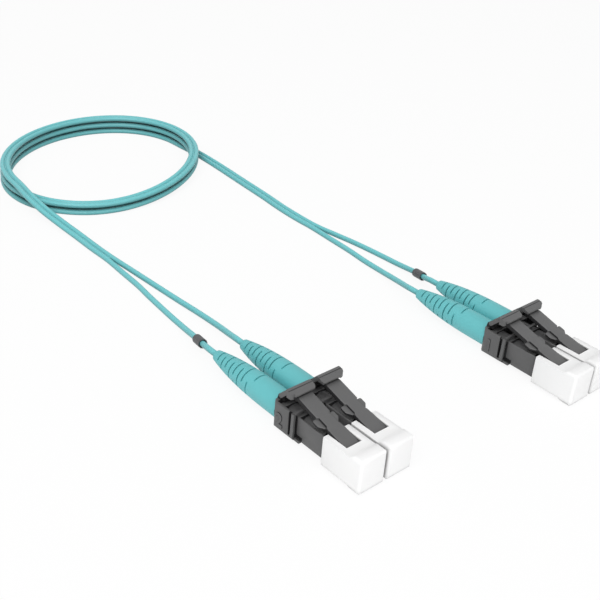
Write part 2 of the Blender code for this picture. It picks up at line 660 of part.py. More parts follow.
def duplex_clip():
    """Two open channels, a rear wall that carries the triggers, a front rib and two short arms."""
    half_pitch = PITCH / 2
    web = half_pitch - CHANNEL_HALF
    channel_outer = half_pitch + CHANNEL_HALF
    wall_top = TRIGGER_HINGE.z - GAP
    beam_half = CLIP_BEAM_WIDTH / 2
    side_top = CHANNEL_HALF + CLIP_SIDE_RISE
    top = 2 * TRIGGER_HINGE.z
    wide = 2 * CLIP_HALF
    arm_inner = half_pitch + NOSE_INNER + GAP
    arm_outer = arm_inner + CLIP_ARM_WIDTH
    sole_inner = arm_outer - CLIP_ARM_SOLE
    sole_top = -NOSE_HALF - CLIP_SEAT_GAP
    arm_top = CLIP_BOTTOM + CLIP_ARM_HEIGHT
    arm_front = CLIP_LENGTH + CLIP_ARM_LENGTH
    channels = prism(filleted([
        (-CLIP_HALF, CLIP_BOTTOM, CLIP_BOTTOM_RADIUS),
        (CLIP_HALF, CLIP_BOTTOM, CLIP_BOTTOM_RADIUS),
        (CLIP_HALF, top, 0),
        (channel_outer, top, 0),
        (channel_outer, CHANNEL_BOTTOM, 0),
        (web, CHANNEL_BOTTOM, 0),
        (web, top, 0),
        (-web, top, 0),
        (-web, CHANNEL_BOTTOM, 0),
        (-channel_outer, CHANNEL_BOTTOM, 0),
        (-channel_outer, top, 0),
        (-CLIP_HALF, top, 0),
    ]), "X", 0, arm_front)
    above_sides = prism([
        (-GAP, side_top),
        (arm_front + GAP, CHANNEL_HALF + CLIP_FRONT_RISE),
        (arm_front + GAP, 2 * top),
        (-GAP, 2 * top),
    ], "Y", -wide, wide)
    rib_end = channel_outer + CLIP_SIDE_WALL / 2
    rib = box(
        (CLIP_LENGTH - CLIP_RIB_LENGTH, -rib_end, CHANNEL_HALF),
        (CLIP_LENGTH + GAP, rib_end, CHANNEL_HALF + CLIP_RIB_HEIGHT),
    )
    around_arms = prism([
        (-sole_inner, CLIP_BOTTOM - GAP),
        (sole_inner, CLIP_BOTTOM - GAP),
        (sole_inner, sole_top),
        (arm_inner, sole_top),
        (arm_inner, arm_top),
        (arm_outer, arm_top),
        (arm_outer, CLIP_BOTTOM - GAP),
        (wide, CLIP_BOTTOM - GAP),
        (wide, top),
        (-wide, top),
        (-wide, CLIP_BOTTOM - GAP),
        (-arm_outer, CLIP_BOTTOM - GAP),
        (-arm_outer, arm_top),
        (-arm_inner, arm_top),
        (-arm_inner, sole_top),
        (-sole_inner, sole_top),
    ], "X", CLIP_LENGTH, 2 * arm_front)
    shell = cut(joined(cut(channels, above_sides), rib), around_arms)
    wall = prism(filleted([
        (-CLIP_HALF, CLIP_BOTTOM, CLIP_BOTTOM_RADIUS),
        (CLIP_HALF, CLIP_BOTTOM, CLIP_BOTTOM_RADIUS),
        (CLIP_HALF, side_top, 0),
        (beam_half + GAP, side_top, 0),
        (beam_half, wall_top, 0),
        (-beam_half, wall_top, 0),
        (-beam_half - GAP, side_top, 0),
        (-CLIP_HALF, side_top, 0),
    ]), "X", 0, CLIP_REAR_WALL)
    beam = box((0, -beam_half, CHANNEL_HALF), (CLIP_BEAM_LENGTH, beam_half, wall_top))
    plan = prism(filleted([
        (0, -CLIP_HALF, CLIP_CORNER_RADIUS),
        (2 * arm_front, -CLIP_HALF, 0),
        (2 * arm_front, CLIP_HALF, 0),
        (0, CLIP_HALF, CLIP_CORNER_RADIUS),
    ]), "Z", -top, top)
    shell = common(joined(shell, wall, beam), plan)
    slot_front = CLIP_LENGTH - CLIP_FLANGE_LENGTH
    slot_inner = channel_outer - GAP
    for side in (-1, 1):
        near, far = sorted((side * slot_inner, side * wide))
        slot = box(
            (slot_front - CLIP_SLOT_WIDTH, near, CLIP_BOTTOM + CLIP_SLOT_FOOT),
            (slot_front, far, top),
        )
        hole = rod(CLIP_REAR_WALL + GAP, -GAP, NECK_RADIUS + GAP, 16)
        hole.transform(Matrix.Translation((0, side * half_pitch, 0)))
        near, far = sorted((side * (RISER_INNER_Y - GAP), side * (RISER_OUTER_Y + GAP)))
        cradle = prism([
            (
                TRIGGER_HINGE.x + CRADLE_RADIUS * math.cos(math.radians(30 * step)),
                TRIGGER_HINGE.z + CRADLE_RADIUS * math.sin(math.radians(30 * step)),
            )
            for step in range(12)
        ], "Y", near, far)
        shell = cut(shell, slot, hole, cradle)
    return finished(shell)


def boot_radius(from_tip):
    share = from_tip / BOOT_LENGTH
    return BOOT_TIP_RADIUS + (BOOT_BASE_RADIUS - BOOT_TIP_RADIUS) * (1 - (1 - share) ** BOOT_FLARE)


def boot():
    """A flared sleeve whose staggered flat slots let it bend, hollow at its base for the crimp."""
    bore = JACKET_RADIUS + BOOT_BORE_GAP
    cavity = CRIMP_RADIUS + GAP
    steps = 7
    outer = [(BOOT_TIP + BOOT_LENGTH * step / steps, boot_radius(BOOT_LENGTH * step / steps))
             for step in range(steps, 0, -1)]
    profile = outer + [
        (BOOT_TIP + BOOT_LENGTH / (2 * steps), boot_radius(BOOT_LENGTH / (2 * steps))),
        (BOOT_TIP + BOOT_TIP_ROUND, boot_radius(BOOT_TIP_ROUND)),
        (BOOT_TIP, BOOT_TIP_RADIUS - BOOT_TIP_ROUND),
        (BOOT_TIP, bore),
        (BOOT_BASE - BOOT_CAVITY_LENGTH, bore),
        (BOOT_BASE - BOOT_CAVITY_LENGTH, cavity),
        (BOOT_BASE, cavity),
    ]
    mesh = turned(profile, 14)
    reach = 2 * BOOT_BASE_RADIUS
    for count, start, upright in (
        (BOOT_TOP_SLOTS, BOOT_TOP_SLOT_START, True),
        (BOOT_SIDE_SLOTS, BOOT_SIDE_SLOT_START, False),
    ):
        for index in range(count):
            rear = BOOT_TIP + start + index * BOOT_SLOT_PITCH
            front = rear + BOOT_SLOT_WIDTH
            core = BOOT_SLOT_CORE_SHARE * boot_radius(rear - BOOT_TIP)
            if index == count - 1:
                core = BOOT_LAST_SLOT_CORE
            for near, far in ((-reach, -core), (core, reach)):
                if upright:
                    slot = box((rear, -reach, near), (front, reach, far))
                else:
                    slot = box((rear, near, -reach), (front, far, reach))
                mesh = cut(mesh, slot)
    return finished(mesh)


def dust_cap():
    """A sleeve with a square mouth and a slot for the latch, closed by a taller rounded block."""
    block_half = CAP_BLOCK_HEIGHT / 2
    block_rear = CAP_FRONT - CAP_BLOCK_LENGTH
    ramp_rear = block_rear - CAP_BLOCK_RAMP
    side = prism(filleted([
        (CAP_REAR, -CAP_SLEEVE_HALF, 0),
        (ramp_rear, -CAP_SLEEVE_HALF, 0),
        (block_rear, -block_half, 0),
        (CAP_FRONT, -block_half, CAP_EDGE_RADIUS),
        (CAP_FRONT, block_half, CAP_EDGE_RADIUS),
        (block_rear, block_half, 0),
        (ramp_rear, CAP_SLEEVE_HALF, 0),
        (CAP_REAR, CAP_SLEEVE_HALF, 0),
    ]), "Y", -CAP_BLOCK_HEIGHT, CAP_BLOCK_HEIGHT)
    plan = prism(filleted([
        (CAP_REAR - GAP, -CAP_HALF_WIDTH, 0),
        (CAP_FRONT, -CAP_HALF_WIDTH, CAP_EDGE_RADIUS),
        (CAP_FRONT, CAP_HALF_WIDTH, CAP_EDGE_RADIUS),
        (CAP_REAR - GAP, CAP_HALF_WIDTH, 0),
    ]), "Z", -CAP_BLOCK_HEIGHT, CAP_BLOCK_HEIGHT)
    section = prism(filleted([
        (-CAP_HALF_WIDTH, -block_half, CAP_EDGE_RADIUS),
        (CAP_HALF_WIDTH, -block_half, CAP_EDGE_RADIUS),
        (CAP_HALF_WIDTH, block_half, CAP_EDGE_RADIUS),
        (-CAP_HALF_WIDTH, block_half, CAP_EDGE_RADIUS),
    ]), "X", CAP_REAR - GAP, CAP_FRONT + GAP)
    mouth_end = NOSE_FRONT + GAP
    mouth = box((CAP_REAR - GAP, -CAVITY_HALF, -CAVITY_HALF), (mouth_end, CAVITY_HALF, CAVITY_HALF))
    slot_half = LATCH_FRONT_WIDTH / 2 + GAP
    slot_end = LATCH_HINGE.x + LATCH_ROOT_RADIUS + GAP
    slot = box((CAP_REAR - GAP, -slot_half, 0), (slot_end, slot_half, CAP_BLOCK_HEIGHT))
    pocket_half = CAP_POCKET_SIDE / 2
    pocket = box((NOSE_FRONT, -pocket_half, -pocket_half), (FERRULE_TIP + 2 * GAP, pocket_half, pocket_half))
    return finished(cut(common(side, plan, section), joined(mouth, slot, pocket)))


def ferrule():
    rear = FLANGE_REAR + GAP
    return finished(turned([
        (FERRULE_TIP, 0),
        (FERRULE_TIP, FERRULE_RADIUS - FERRULE_CHAMFER),
        (FERRULE_TIP - FERRULE_CHAMFER, FERRULE_RADIUS),
        (rear, FERRULE_RADIUS),
        (rear, 0),
    ], 12))


def ferrule_flange():
    return finished(ring(FLANGE_FRONT, FLANGE_REAR, BORE_RADIUS - GAP, FERRULE_RADIUS + GAP, 12))


def spring_points():
    """A helix between the back body and the flange, clear of the bore's wall."""
    low = BACK_BODY_FRONT + GAP + SPRING_WIRE_RADIUS
    high = FLANGE_REAR - GAP - SPRING_WIRE_RADIUS
    radius = BORE_RADIUS - GAP - SPRING_WIRE_RADIUS
    count = SPRING_TURNS * SPRING_POINTS_PER_TURN
    points = []
    for index in range(count + 1):
        angle = 2 * math.pi * index / SPRING_POINTS_PER_TURN
        points.append(Vector((
            low + (high - low) * index / count,
            radius * math.cos(angle),
            radius * math.sin(angle),
        )))
    return points


def spring():
    return swept(spring_points(), radius=SPRING_WIRE_RADIUS, resolution=0)


def back_body():
    """A collared plug for the housing's rear, with the neck that the crimp sleeve closes on."""
    body = BORE_RADIUS - GAP
    collar_front = HOUSING_REAR + COLLAR_LENGTH
    return finished(turned([
        (BACK_BODY_FRONT, body),
        (collar_front, body),
        (collar_front, COLLAR_RADIUS),
        (HOUSING_REAR, COLLAR_RADIUS),
        (HOUSING_REAR, NECK_RADIUS),
        (NECK_REAR, NECK_RADIUS),
        (NECK_REAR, FIBRE_HOLE_RADIUS),
        (BACK_BODY_FRONT, FIBRE_HOLE_RADIUS),
    ], 12))


def crimp_sleeve():
    return finished(ring(CRIMP_REAR + CRIMP_LENGTH, CRIMP_REAR, CRIMP_RADIUS, NECK_RADIUS + GAP, 12))


def marker_sleeve():
    inner = JACKET_RADIUS + BOOT_BORE_GAP
    return finished(ring(MARKER_LENGTH / 2, -MARKER_LENGTH / 2, inner + MARKER_WALL, inner, 12))


def twin_section():
    """The twin cord's section, clockwise: two round jackets with a web between them."""
    waist = math.asin(WEB_THICKNESS / (2 * JACKET_RADIUS))
    section = []
    for side in (1, -1):
        for step in range(6):
            angle = (math.pi - waist) * (1 - 2 * step / 5)
            across = LOBE_OFFSET + JACKET_RADIUS * math.cos(angle)
            section.append((side * across, side * JACKET_RADIUS * math.sin(angle)))
    return section


def section_curve():
    curve = bpy.data.curves.new("twin_section", "CURVE")
    curve.dimensions = "2D"
    spline = curve.splines.new("POLY")
    section = twin_section()
    spline.points.add(len(section) - 1)
    for point, (u, v) in zip(spline.points, section):
        point.co = (u * METRES_PER_MM, v * METRES_PER_MM, 0, 1)
    spline.use_cyclic_u = True
    return working_object(curve)


def coil_layer(turn):
    """Layer that the cord lies on: it climbs one layer late in each whole turn."""
    whole = math.floor(turn)
    climb = (turn - whole - CLIMB_FROM) / (CLIMB_TO - CLIMB_FROM)
    climb = min(1, max(0, climb))
    return whole + climb * climb * (3 - 2 * climb)


def coil_points():
    """An oval coil that starts where it runs along -X and ends where it runs along +X."""
    long_axis = Vector((math.cos(COIL_LONG_AXIS), math.sin(COIL_LONG_AXIS), 0))
    short_axis = Vector((-long_axis.y, long_axis.x, 0))
    start = math.atan2(COIL_SHORT_RADIUS * short_axis.y, COIL_LONG_RADIUS * long_axis.y)
    count = round(COIL_TURNS * COIL_POINTS_PER_TURN)
    points = []
    for index in range(count + 1):
        turn = COIL_TURNS * index / count
        angle = start + 2 * math.pi * turn
        layer = coil_layer(turn)
        height = JACKET_RADIUS + LAYER_PITCH * layer
        along_long = COIL_LONG_RADIUS * math.cos(angle) * long_axis
        across = along_long + COIL_SHORT_RADIUS * math.sin(angle) * short_axis
        points.append(COIL_CENTRE + across + COIL_LEAN * layer + Vector((0, 0, height)))
    straight = UNIT["X"] * TWIN_WIDTH
    return [points[0] + straight, *points, points[-1] + straight]


def least_self_gap(points):
    """Least distance between the section's corners on stretches over half a turn apart."""
    corners = []
    for index, point in enumerate(points):
        ahead = points[min(index + 1, len(points) - 1)] - points[max(index - 1, 0)]
        across = Vector((ahead.y, -ahead.x, 0)).normalized()
        for u, v in twin_section():
            corners.append(point + across * u + UNIT["Z"] * v)
    corners = np.array(corners).reshape(len(points), -1, 3)
    apart = COIL_POINTS_PER_TURN // 2
    least = math.inf
    for index in range(len(points) - apart):
        others = corners[index + apart:].reshape(-1, 3)
        offsets = corners[index][:, None, :] - others[None, :, :]
        least = min(least, float(np.linalg.norm(offsets, axis=2).min()))
    return least


def end_location(sign):
    """Floor point under the datum of one end's clip."""
    return Vector((sign * END_STAGGER / 2 - END_SETBACK, sign * END_SPACING / 2, 0))


def leg_route(name, sign, side):
    """One leg: out of the twin cord, over the floor, up to its boot and straight in to the crimp."""
    tail = TAIL_A_ROUTE if name.startswith("a") else TAIL_B_ROUTE
    last, before = Vector(tail[-1]), Vector(tail[-2])
    ahead = (last - before).normalized()
    across = Vector((-ahead.y, ahead.x, 0))
    start = last + ahead * GAP + across * side * LOBE_OFFSET
    axis = end_location(sign) + Vector((0, side * PITCH / 2, AXIS_HEIGHT))
    straight = 4 * JACKET_RADIUS
    outside = [axis + Vector((BOOT_TIP - straight * share, 0, 0)) for share in (1, 0.5)]
    route = [start, start + ahead * straight / 2, *(Vector(point) for point in LEG_ROUTES[name]), *outside]
    route.append(axis + Vector((BOOT_TIP, 0, 0)))
    return smooth_route(route, LEG_SPACING) + [axis + Vector((NECK_REAR - GAP, 0, 0))]


def add_marker(name, route):
    """A sleeve round the leg, at its set distance behind the boot."""
    travelled = 0
    for ahead, behind in zip(route[-2::-1], route[-3::-1]):
        step = (ahead - behind).length
        if travelled + step >= MARKER_FROM_BOOT:
            break
        travelled += step
    direction = (ahead - behind).normalized()
    place = ahead - direction * (MARKER_FROM_BOOT - travelled)
    obj = add_part(name, marker_sleeve(), "marker", location=place)
    obj.rotation_euler = direction.to_track_quat("X", "Z").to_euler()


def add_plugs():
    """The pieces of both ends, each pair of plugs under its own empty."""
    shared = {
        "plug_housing": (plug_housing(), "dark_plastic", Vector((0, 0, 0))),
        "latch_arm": (latch_arm(), "dark_plastic", LATCH_HINGE),
        "ferrule": (ferrule(), "ceramic", Vector((0, 0, 0))),
        "ferrule_flange": (ferrule_flange(), "steel", Vector((0, 0, 0))),
        "spring": (spring(), "steel", Vector((0, 0, 0))),
        "back_body": (back_body(), "steel", Vector((0, 0, 0))),
        "crimp_sleeve": (crimp_sleeve(), "steel", Vector((0, 0, 0))),
        "boot": (boot(), "boot_rubber", Vector((0, 0, 0))),
        "dust_cap": (dust_cap(), "cap_plastic", Vector((0, 0, 0))),
    }
    triggers = {-1: trigger(-1), 1: trigger(1)}
    clip = duplex_clip()
    axis = Vector((0, 0, AXIS_HEIGHT))
    for end, sign in (("a", -1), ("b", 1)):
        datum = bpy.data.objects.new("end_" + end, None)
        datum.location = end_location(sign) * METRES_PER_MM
        parts.objects.link(datum)
        add_part("duplex_clip_" + end, clip, "dark_plastic", datum, axis)
        for number, side in (("1", -1), ("2", 1)):
            plug = axis + Vector((0, side * PITCH / 2, 0))
            for name, (mesh, finish, origin) in shared.items():
                add_part(f"{name}_{end}{number}", mesh, finish, datum, plug + origin)
            add_part(f"trigger_{end}{number}", triggers[side], "dark_plastic", datum, axis + TRIGGER_HINGE)


def add_cord():
    """The coil, its two tails and the four legs, which meet end to end."""
    section = section_curve()
    coil = coil_points()
    add_part("twin_coil", swept(coil, section), "cord")
    print(f"least gap of the coil to itself: {least_self_gap(coil):.2f} mm")
    straight = UNIT["X"] * TWIN_WIDTH
    for end, meeting, route in (("a", coil[-1], TAIL_A_ROUTE), ("b", coil[0], TAIL_B_ROUTE)):
        start = meeting + UNIT["X"] * GAP
        points = [start, start + straight / 2, *(Vector(point) for point in route)]
        add_part("twin_tail_" + end, swept(smooth_route(points, TAIL_SPACING), section), "cord")
    for end, sign in (("a", -1), ("b", 1)):
        for number, side in (("1", -1), ("2", 1)):
            route = leg_route(end + number, sign, side)
            add_part("leg_" + end + number, swept(route), "cord")
            if side == sign:
                add_marker("marker_sleeve_" + end, route)


add_plugs()
add_cord()
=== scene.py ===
"""Looks of a duplex fibre optic patch cord: camera, cord, moulded pieces, finishes, floor and light."""

import json
import math

import bmesh
import bpy
import numpy as np
from mathutils import Matrix, Vector

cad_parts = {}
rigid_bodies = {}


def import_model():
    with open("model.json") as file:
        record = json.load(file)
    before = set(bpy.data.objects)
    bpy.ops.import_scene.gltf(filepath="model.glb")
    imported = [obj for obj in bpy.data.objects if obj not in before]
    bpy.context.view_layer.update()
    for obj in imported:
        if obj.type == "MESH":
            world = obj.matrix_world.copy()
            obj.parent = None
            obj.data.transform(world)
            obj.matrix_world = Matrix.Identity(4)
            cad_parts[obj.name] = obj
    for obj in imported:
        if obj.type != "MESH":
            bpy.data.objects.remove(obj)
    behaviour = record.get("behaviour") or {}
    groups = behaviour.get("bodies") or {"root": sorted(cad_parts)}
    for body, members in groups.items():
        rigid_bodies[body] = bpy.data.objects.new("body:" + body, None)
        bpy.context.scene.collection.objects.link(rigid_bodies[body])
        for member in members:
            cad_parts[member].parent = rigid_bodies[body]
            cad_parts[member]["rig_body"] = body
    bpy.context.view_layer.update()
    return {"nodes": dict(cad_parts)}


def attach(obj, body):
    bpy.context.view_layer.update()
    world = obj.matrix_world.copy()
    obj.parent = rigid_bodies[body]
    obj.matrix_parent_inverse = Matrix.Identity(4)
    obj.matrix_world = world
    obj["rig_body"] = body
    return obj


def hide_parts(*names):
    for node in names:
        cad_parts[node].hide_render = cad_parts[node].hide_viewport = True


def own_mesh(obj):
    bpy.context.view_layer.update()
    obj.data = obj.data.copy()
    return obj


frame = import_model()

MM = 0.001
ROOT = "cord_and_plugs"
ENDS = {"a": -1, "b": 1}
PLUGS = {"a1": -1, "a2": 1, "b1": -1, "b2": 1}

# Camera, in millimetres and degrees, and its clipping distances in metres
CAMERA_PLACE = Vector((97.333, -120.769, 106.563))
CAMERA_HEADING = 136.75
CAMERA_DIP = 30.64
CAMERA_ROLL = 4.34
CAMERA_LENS = 60.0
CAMERA_SENSOR = 36.0
CAMERA_CLIP_START = 0.01
CAMERA_CLIP_END = 10

# Plug layout in millimetres, as in the solids
END_SPACING = 47.8
END_STAGGER = 6.0
END_SETBACK = 1.2
PITCH = 6.25
AXIS_HEIGHT = 3.4
BOOT_BASE = -0.3
BOOT_TIP = -19.1

# Twin cord in millimetres, with the fine steps between two guide points and the points from one guide
# to the next
JACKET_RADIUS = 0.6
WEB_WIDTH = 0.12
WEB_OVERLAP = 0.1
WEB_THICKNESS = 0.5
LOBE_OFFSET = JACKET_RADIUS + WEB_WIDTH / 2
TWIN_WIDTH = 2 * (LOBE_OFFSET + JACKET_RADIUS)
CORD_SPACING = 0.8
STRAIGHT_OUT = 4 * JACKET_RADIUS
SPLIT_LENGTH = 5.6
ROUTE_STEPS = 24
GUIDE_APART = 8
TUBE_ROUNDNESS = 5

# Coil in millimetres
COIL_CENTRE = Vector((-113.3, 3.6, 0.0))
COIL_LONG_RADIUS = 27.0
COIL_SHORT_RADIUS = 22.7
COIL_LONG_AXIS = math.radians(119.2)
COIL_TURNS = 2.5
COIL_POINTS_PER_TURN = 24
COIL_LAYER_PITCH = 1.68
COIL_LEAN = Vector((-0.17, 0.16, 0.0))
CLIMB_FROM = 0.65
CLIMB_TO = 0.9

# Route of the cord over the floor, in millimetres
TAIL_A_ROUTE = (
    (-100.0, -23.1, 3.45),
    (-96.0, -22.9, 2.8),
    (-92.0, -22.4, 2.1),
    (-88.0, -21.85, 1.45),
    (-84.0, -21.35, 0.95),
    (-78.5, -21.05, 0.65),
    (-73.0, -21.1, 0.6),
    (-68.5, -20.8, 0.6),
    (-64.4, -20.4, 0.6),
)
TAIL_B_ROUTE = (
    (-107.0, 29.9, 0.6),
    (-99.0, 29.6, 0.6),
    (-91.0, 29.0, 0.6),
    (-83.0, 28.4, 0.6),
    (-75.0, 27.8, 0.6),
    (-68.0, 27.1, 0.6),
    (-62.0, 26.9, 0.6),
    (-56.0, 26.95, 0.6),
    (-51.0, 26.9, 0.6),
)
LEG_ROUTES = {
    "a1": ((-57.0, -22.3, 0.6), (-51.5, -22.92, 0.6), (-43.5, -23.7, 0.65),
           (-37.5, -24.4, 1.0), (-32.0, -25.4, 1.9), (-28.3, -26.4, 2.8)),
    "a2": ((-54.0, -19.3, 0.6), (-47.2, -18.9, 0.62), (-40.4, -18.75, 0.95),
           (-33.5, -19.2, 1.7), (-28.3, -20.2, 2.75)),
    "b1": ((-43.0, 25.6, 0.6), (-37.5, 25.0, 0.65), (-31.7, 24.3, 1.0),
           (-26.0, 23.1, 1.8), (-21.8, 21.6, 2.8)),
    "b2": ((-44.4, 29.4, 0.6), (-38.0, 29.9, 0.65), (-31.6, 29.8, 1.0),
           (-26.0, 29.0, 1.9), (-21.8, 27.7, 2.8)),
}

# Boot in millimetres
BOOT_LENGTH = BOOT_BASE - BOOT_TIP
BOOT_TIP_RADIUS = 1.05
BOOT_BASE_RADIUS = 2.55
BOOT_FLARE = 2.86
BOOT_BORE = 0.7
BOOT_EDGE_ROUND = 0.18
BOOT_EDGE_STEPS = 4
BOOT_SHARP_ANGLE = math.radians(35)
BOOT_SEAT = 0.25
BOOT_SIDES = 64
BOOT_STATIONS = 40
BOOT_SLOT_WIDTH = 0.3
BOOT_SLOT_CORE_SHARE = 0.28
BOOT_LAST_SLOT_CORE = 1.95
BOOT_SLOT_PITCH = 2.65
BOOT_SLOTS = ((5, 1.75, True), (4, 3.15, False))

# Spring in millimetres
SPRING_REAR = 4.3
SPRING_LENGTH = 4.6
SPRING_WIRE = 0.13
SPRING_RADIUS = 1.17
SPRING_TURNS = 4
SPRING_POINTS_PER_TURN = 24

# Recesses of the housings, clips and triggers, where shade is painted, in millimetres, from the datum of
# their plug or end, and the parts of a face's normal that tell which way it looks
SHOULDER = 5.9
RECESS_FRONT = 16.9
NOSE_INNER = 1.95
CLIP_REAR_WALL = 0.79
CHANNEL_HALF = 2.41
CHANNEL_BOTTOM = -2.21
CHANNEL_TOP = 2.35
REAR_HALF = 2.1
SLOT_REAR = 4.34
SLOT_FRONT = 4.91
BEAM_FRONT = 1.9
BEAM_HALF = 4.7
BARREL_SHADE = 1.1
BARREL_TOP_TURN = 0.75
BAR_BOTTOM = 5.55
PLATE_OUTER = 5.2
SLOT_END_TURN = 0.5
BEAM_REAR_TURN = -0.3
PLATE_FRONT_TURN = 0.2
LATCH_SIDE_TURN = 0.7
LATCH_UNDER_TURN = -0.3

# Raised numbers on the clips in millimetres
CLIP_HALF = 6.05
NUMBERS = {"a1": "2", "a2": "1", "b1": "1", "b2": "2"}
NUMBER_SIZE = 3.6
NUMBER_RISE = 0.1
NUMBER_ROUND = 0.05
NUMBER_SWELL = 0.05
NUMBER_X = 2.1
NUMBER_Z = -0.4
NUMBER_ROUNDNESS = 1
NUMBER_FACE_TURN = 0.9

# Finishes: broad patches as multiples of the grain, bumps as a share of it, the spread of the gloss, and
# the samples that find sheltered places for painted shade
BROAD_GRAIN = 12
BROAD_DETAIL = 3
FINE_DETAIL = 2
BUMP_SHARE = 0.1
GLOSS_SPREAD = 0.06
PAINTED_SHADE_SAMPLES = 16

# Rounded edges of the moulded pieces in millimetres: their radius and the shortest edge that has it
EDGE_ROUND = {
    "plug_housing": (0.1, 1.0),
    "latch_arm": (0.16, 0.0),
    "trigger": (0.16, 1.0),
    "duplex_clip": (0.22, 1.4),
    "dust_cap": (0.26, 0.0),
}

# Caps: the share of their width that is kept, and, in millimetres from their plug's datum, where the
# ceiling and the latch slot of the solid are and how far they come in to the nose and the latch
CAP_SLIM = 0.96
CAP_MOUTH_END = 17.25
CAP_CEILING = 2.55
CAP_NEAR = 0.05
CAP_DROP = 0.27
CAP_SLOT_HALF = 1.9
CAP_SLOT_REACH = 2.5
CAP_CLOSE = 0.18

# Rounded tips of the latch arms in millimetres
TIP_FRONT = 16.9
TIP_HALF = 1.6
TIP_ROUND = 0.45
TIP_STEPS = 5

# Which edges are sharp, flat or turn off another, and the share of the room beside it a rounding may use
SHARP_ANGLE = math.radians(50)
FLAT_ANGLE = math.radians(2)
ROUND_SEGMENTS = 3
CHAIN_TURN = 0.85
ROOM_SHARE = 0.3
WELD = 0.0005 * MM

# Finish and material slot of each moulded piece, and finishes of the solids that stay as they are
MOULDED_LOOKS = {
    "plug_housing": ("dark", "dark_plastic"),
    "latch_arm": ("dark", "dark_plastic"),
    "trigger": ("dark", "dark_plastic"),
    "duplex_clip": ("dark", "dark_plastic"),
    "dust_cap": ("cap", "white_plastic"),
}
SOLID_LOOKS = {
    "marker_sleeve": "marker",
    "ferrule": "ceramic",
    "ferrule_flange": "metal",
    "back_body": "dark",
    "crimp_sleeve": "metal",
}

# Floor and light, in metres and watts, with the world's level for the part and as the camera sees it
FLOOR_SIZE = 3
FLOOR_DROP = 0.00002
FLOOR_COLOUR = (0.95, 0.95, 0.95, 1)
FLOOR_ROUGHNESS = 0.9
FLOOR_GLOW = 0.9
WORLD_LEVEL = 0.43
WORLD_LEVEL_SEEN = 1.0
LAMP_SIZE = 0.5
LAMP_TARGET = Vector((-0.04, 0, 0))
LAMPS = (
    ("key", 3.45, Vector((0.2, -0.44, 0.64))),
    ("fill", 1.6, Vector((0.6, -0.08, 0.5))),
)


def linked(name, data):
    """A new object in the scene with the data given."""
    obj = bpy.data.objects.new(name, data)
    bpy.context.scene.collection.objects.link(obj)
    return obj


def baked(obj):
    """The mesh that an object's curve or modifiers make. The object itself is removed."""
    graph = bpy.context.evaluated_depsgraph_get()
    mesh = bpy.data.meshes.new_from_object(obj.evaluated_get(graph))
    bpy.data.objects.remove(obj)
    return mesh


def coat(mesh, *finishes):
    """Gives a mesh the finishes in place of any that it has."""
    mesh.materials.clear()
    for finish in finishes:
        mesh.materials.append(finish)


def make_camera():
    """The camera of the photograph, from its place, heading, dip and roll."""
    heading = math.radians(CAMERA_HEADING)
    dip = math.radians(CAMERA_DIP)
    roll = math.radians(CAMERA_ROLL)
    ahead = Vector((math.cos(heading), math.sin(heading), 0))
    right = Vector((ahead.y, -ahead.x, 0))
    forward = math.cos(dip) * ahead - math.sin(dip) * Vector((0, 0, 1))
    up = right.cross(forward)
    rolled_right = math.cos(roll) * right + math.sin(roll) * up
    rolled_up = math.cos(roll) * up - math.sin(roll) * right
    camera = linked("camera", bpy.data.cameras.new("camera"))
    camera.data.lens = CAMERA_LENS
    camera.data.sensor_width = CAMERA_SENSOR
    camera.data.clip_start = CAMERA_CLIP_START
    camera.data.clip_end = CAMERA_CLIP_END
    turn = Matrix((rolled_right, rolled_up, -forward)).transposed().to_4x4()
    camera.matrix_world = Matrix.Translation(CAMERA_PLACE * MM) @ turn
    bpy.context.scene.camera = camera


def smooth_route(points, spacing):
    """Evenly spaced points on a smooth curve through the given ones."""
    points = [Vector(point) for point in points]
    guide = [2 * points[0] - points[1], *points, 2 * points[-1] - points[-2]]
    fine = []
    for p0, p1, p2, p3 in zip(guide, guide[1:], guide[2:], guide[3:]):
        for step in range(ROUTE_STEPS):
            t = step / ROUTE_STEPS
            bend = (2 * p0 - 5 * p1 + 4 * p2 - p3) * t * t + (3 * p1 - p0 - 3 * p2 + p3) * t * t * t
            fine.append(p1 + ((p2 - p0) * t + bend) / 2)
    fine.append(points[-1])
    fine = np.array(fine)
    travelled = np.concatenate([[0], np.cumsum(np.linalg.norm(np.diff(fine, axis=0), axis=1))])
    wanted = np.linspace(0, travelled[-1], round(travelled[-1] / spacing) + 1)
    return [Vector([np.interp(d, travelled, fine[:, axis]) for axis in range(3)]) for d in wanted]


def coil_layer(turn):
    """Layer that the cord lies on: it climbs one layer late in each whole turn."""
    whole = math.floor(turn)
    climb = (turn - whole - CLIMB_FROM) / (CLIMB_TO - CLIMB_FROM)
    climb = min(1, max(0, climb))
    return whole + climb * climb * (3 - 2 * climb)


def coil_points():
    """An oval coil, from a short straight lead-in along -X to where it runs along +X."""
    long_axis = Vector((math.cos(COIL_LONG_AXIS), math.sin(COIL_LONG_AXIS), 0))
    short_axis = Vector((-long_axis.y, long_axis.x, 0))
    start = math.atan2(COIL_SHORT_RADIUS * short_axis.y, COIL_LONG_RADIUS * long_axis.y)
    count = round(COIL_TURNS * COIL_POINTS_PER_TURN)
    points = []
    for index in range(count + 1):
        turn = COIL_TURNS * index / count
        angle = start + 2 * math.pi * turn
        layer = coil_layer(turn)
        height = JACKET_RADIUS + COIL_LAYER_PITCH * layer
        along_long = COIL_LONG_RADIUS * math.cos(angle) * long_axis
        across = along_long + COIL_SHORT_RADIUS * math.sin(angle) * short_axis
        points.append(COIL_CENTRE + across + COIL_LEAN * layer + Vector((0, 0, height)))
    return [points[0] + Vector((TWIN_WIDTH, 0, 0)), *points]


